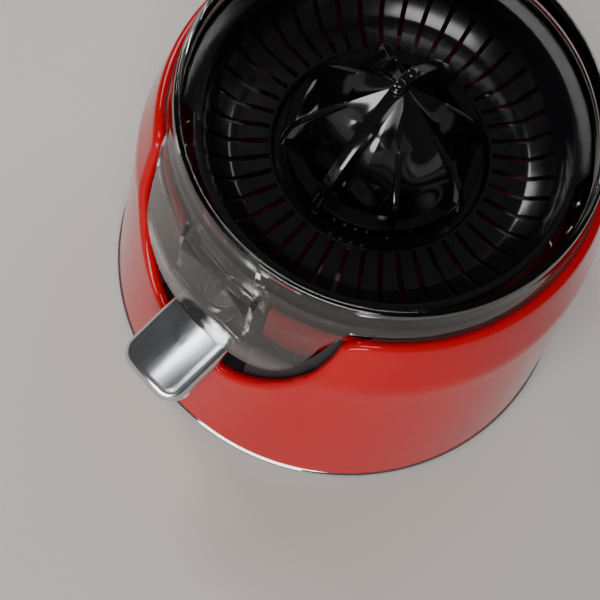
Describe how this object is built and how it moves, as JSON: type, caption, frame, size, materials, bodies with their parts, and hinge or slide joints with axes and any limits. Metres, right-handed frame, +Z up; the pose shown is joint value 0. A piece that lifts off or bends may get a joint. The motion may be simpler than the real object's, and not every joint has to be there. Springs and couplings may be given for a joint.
{
  "type": "citrus press juicer",
  "caption": "Electric citrus press with a red flared body, clear bowl with front apron, black slotted strainer, ribbed black reamer and a steel pivoting spout.",
  "frame": {"origin": "centre of the foot ring's resting face, on the axis of the reamer", "axes": "+Z up along the reamer's axis, -Y towards the spout, +X to the right when the spout is faced from behind the juicer"},
  "size_m": [0.1954, 0.2239, 0.1762],
  "materials": {
    "red_body": "high gloss",
    "clear_bowl": "clear, slightly smoked",
    "black_gloss": "polished",
    "black_matte": "fine grain",
    "rubber_black": "soft",
    "silicone_white": "soft",
    "chrome_trim": "bright",
    "spout_steel": "fine satin polish",
    "zinc_steel": "zinc plated",
    "ground_steel": "ground",
    "bronze": "sintered",
    "copper_core": "varnished copper and steel",
    "magnet_grey": "ferrite",
    "gear_nylon": "natural nylon",
    "housing_grey": "moulded",
    "board_green": "solder mask",
    "component_blue": "epoxy dipped"
  },
  "bodies": {
    "chassis": {"base_plate": "black_matte", "foot_ring": "rubber_black", "base_ring": "chrome_trim", "shell": "red_body", "well": "red_body", "spout_bay": "black_matte", "rim_gasket": "rubber_black", "cord_gland": "black_matte", "motor_can": "zinc_steel", "motor_cap": "black_matte", "motor_magnets": "magnet_grey", "motor_bushes": "bronze", "idler_axle": "ground_steel", "gearbox_housing": "housing_grey", "gearbox_lid": "housing_grey", "gearbox_mounts": "rubber_black", "spindle_bushes": "bronze", "spindle_seal": "silicone_white", "return_spring": "zinc_steel", "micro_switch": "black_matte", "circuit_board": "board_green", "board_parts": "component_blue", "terminal_block": "gear_nylon", "base_screws": "zinc_steel", "gearbox_screws": "zinc_steel", "motor_screws": "zinc_steel", "board_screws": "zinc_steel"},
    "rotor": {"motor_rotor": "copper_core", "pinion": "bronze"},
    "idler": {"idler_gear": "gear_nylon"},
    "output": {"output_gear": "gear_nylon"},
    "spindle": {"spindle": "ground_steel"},
    "plunger": {"switch_plunger": "red_body"},
    "cone": {"reamer": "black_gloss"},
    "bowl": {"bowl": "clear_bowl", "spout_pin": "ground_steel"},
    "sieve": {"strainer": "black_gloss"},
    "spout": {"spout_hood": "spout_steel", "spout_chute": "black_matte", "drip_stopper": "silicone_white"}
  },
  "joints": [
    {"name": "drive_spin", "type": "hinge", "parent": "chassis", "child": "output", "pos_m": [0, 0, 0.087], "axis": [0, 0, 1], "continuous": true},
    {"name": "idler_spin", "type": "hinge", "parent": "chassis", "child": "idler", "pos_m": [0, 0.03, 0.082], "axis": [0, 0, 1], "continuous": true},
    {"name": "motor_spin", "type": "hinge", "parent": "chassis", "child": "rotor", "pos_m": [-0.02266, 0.01943, 0.045], "axis": [0, 0, 1], "continuous": true},
    {"name": "spindle_press", "type": "slide", "parent": "output", "child": "spindle", "axis": [0, 0, -1], "range_m": [0, 0.003], "stiffness_N_per_m": 1500, "springref_m": -0.0015, "deforming": ["return_spring"]},
    {"name": "plunger_press", "type": "slide", "parent": "chassis", "child": "plunger", "axis": [0, 0, -1], "range_m": [0, 0.003]},
    {"name": "bowl_lift", "type": "slide", "parent": "chassis", "child": "bowl", "axis": [0, 0, 1], "range_m": [0, 0.06]},
    {"name": "sieve_lift", "type": "slide", "parent": "bowl", "child": "sieve", "axis": [0, 0, 1], "range_m": [0, 0.04]},
    {"name": "cone_lift", "type": "slide", "parent": "spindle", "child": "cone", "axis": [0, 0, 1], "range_m": [0, 0.15]},
    {"name": "spout_tilt", "type": "hinge", "parent": "bowl", "child": "spout", "pos_m": [0, -0.064, 0.084], "axis": [-1, 0, 0], "range_deg": [0, 7]}
  ],
  "couplings": [
    {"joint": "idler_spin", "follows": "drive_spin", "ratio": -4},
    {"joint": "motor_spin", "follows": "drive_spin", "ratio": 16},
    {"joint": "plunger_press", "follows": "spindle_press", "ratio": 1},
    {"joint": "sieve_lift", "follows": "bowl_lift", "ratio": 0.66667},
    {"joint": "cone_lift", "follows": "bowl_lift", "ratio": 2.5}
  ]
}
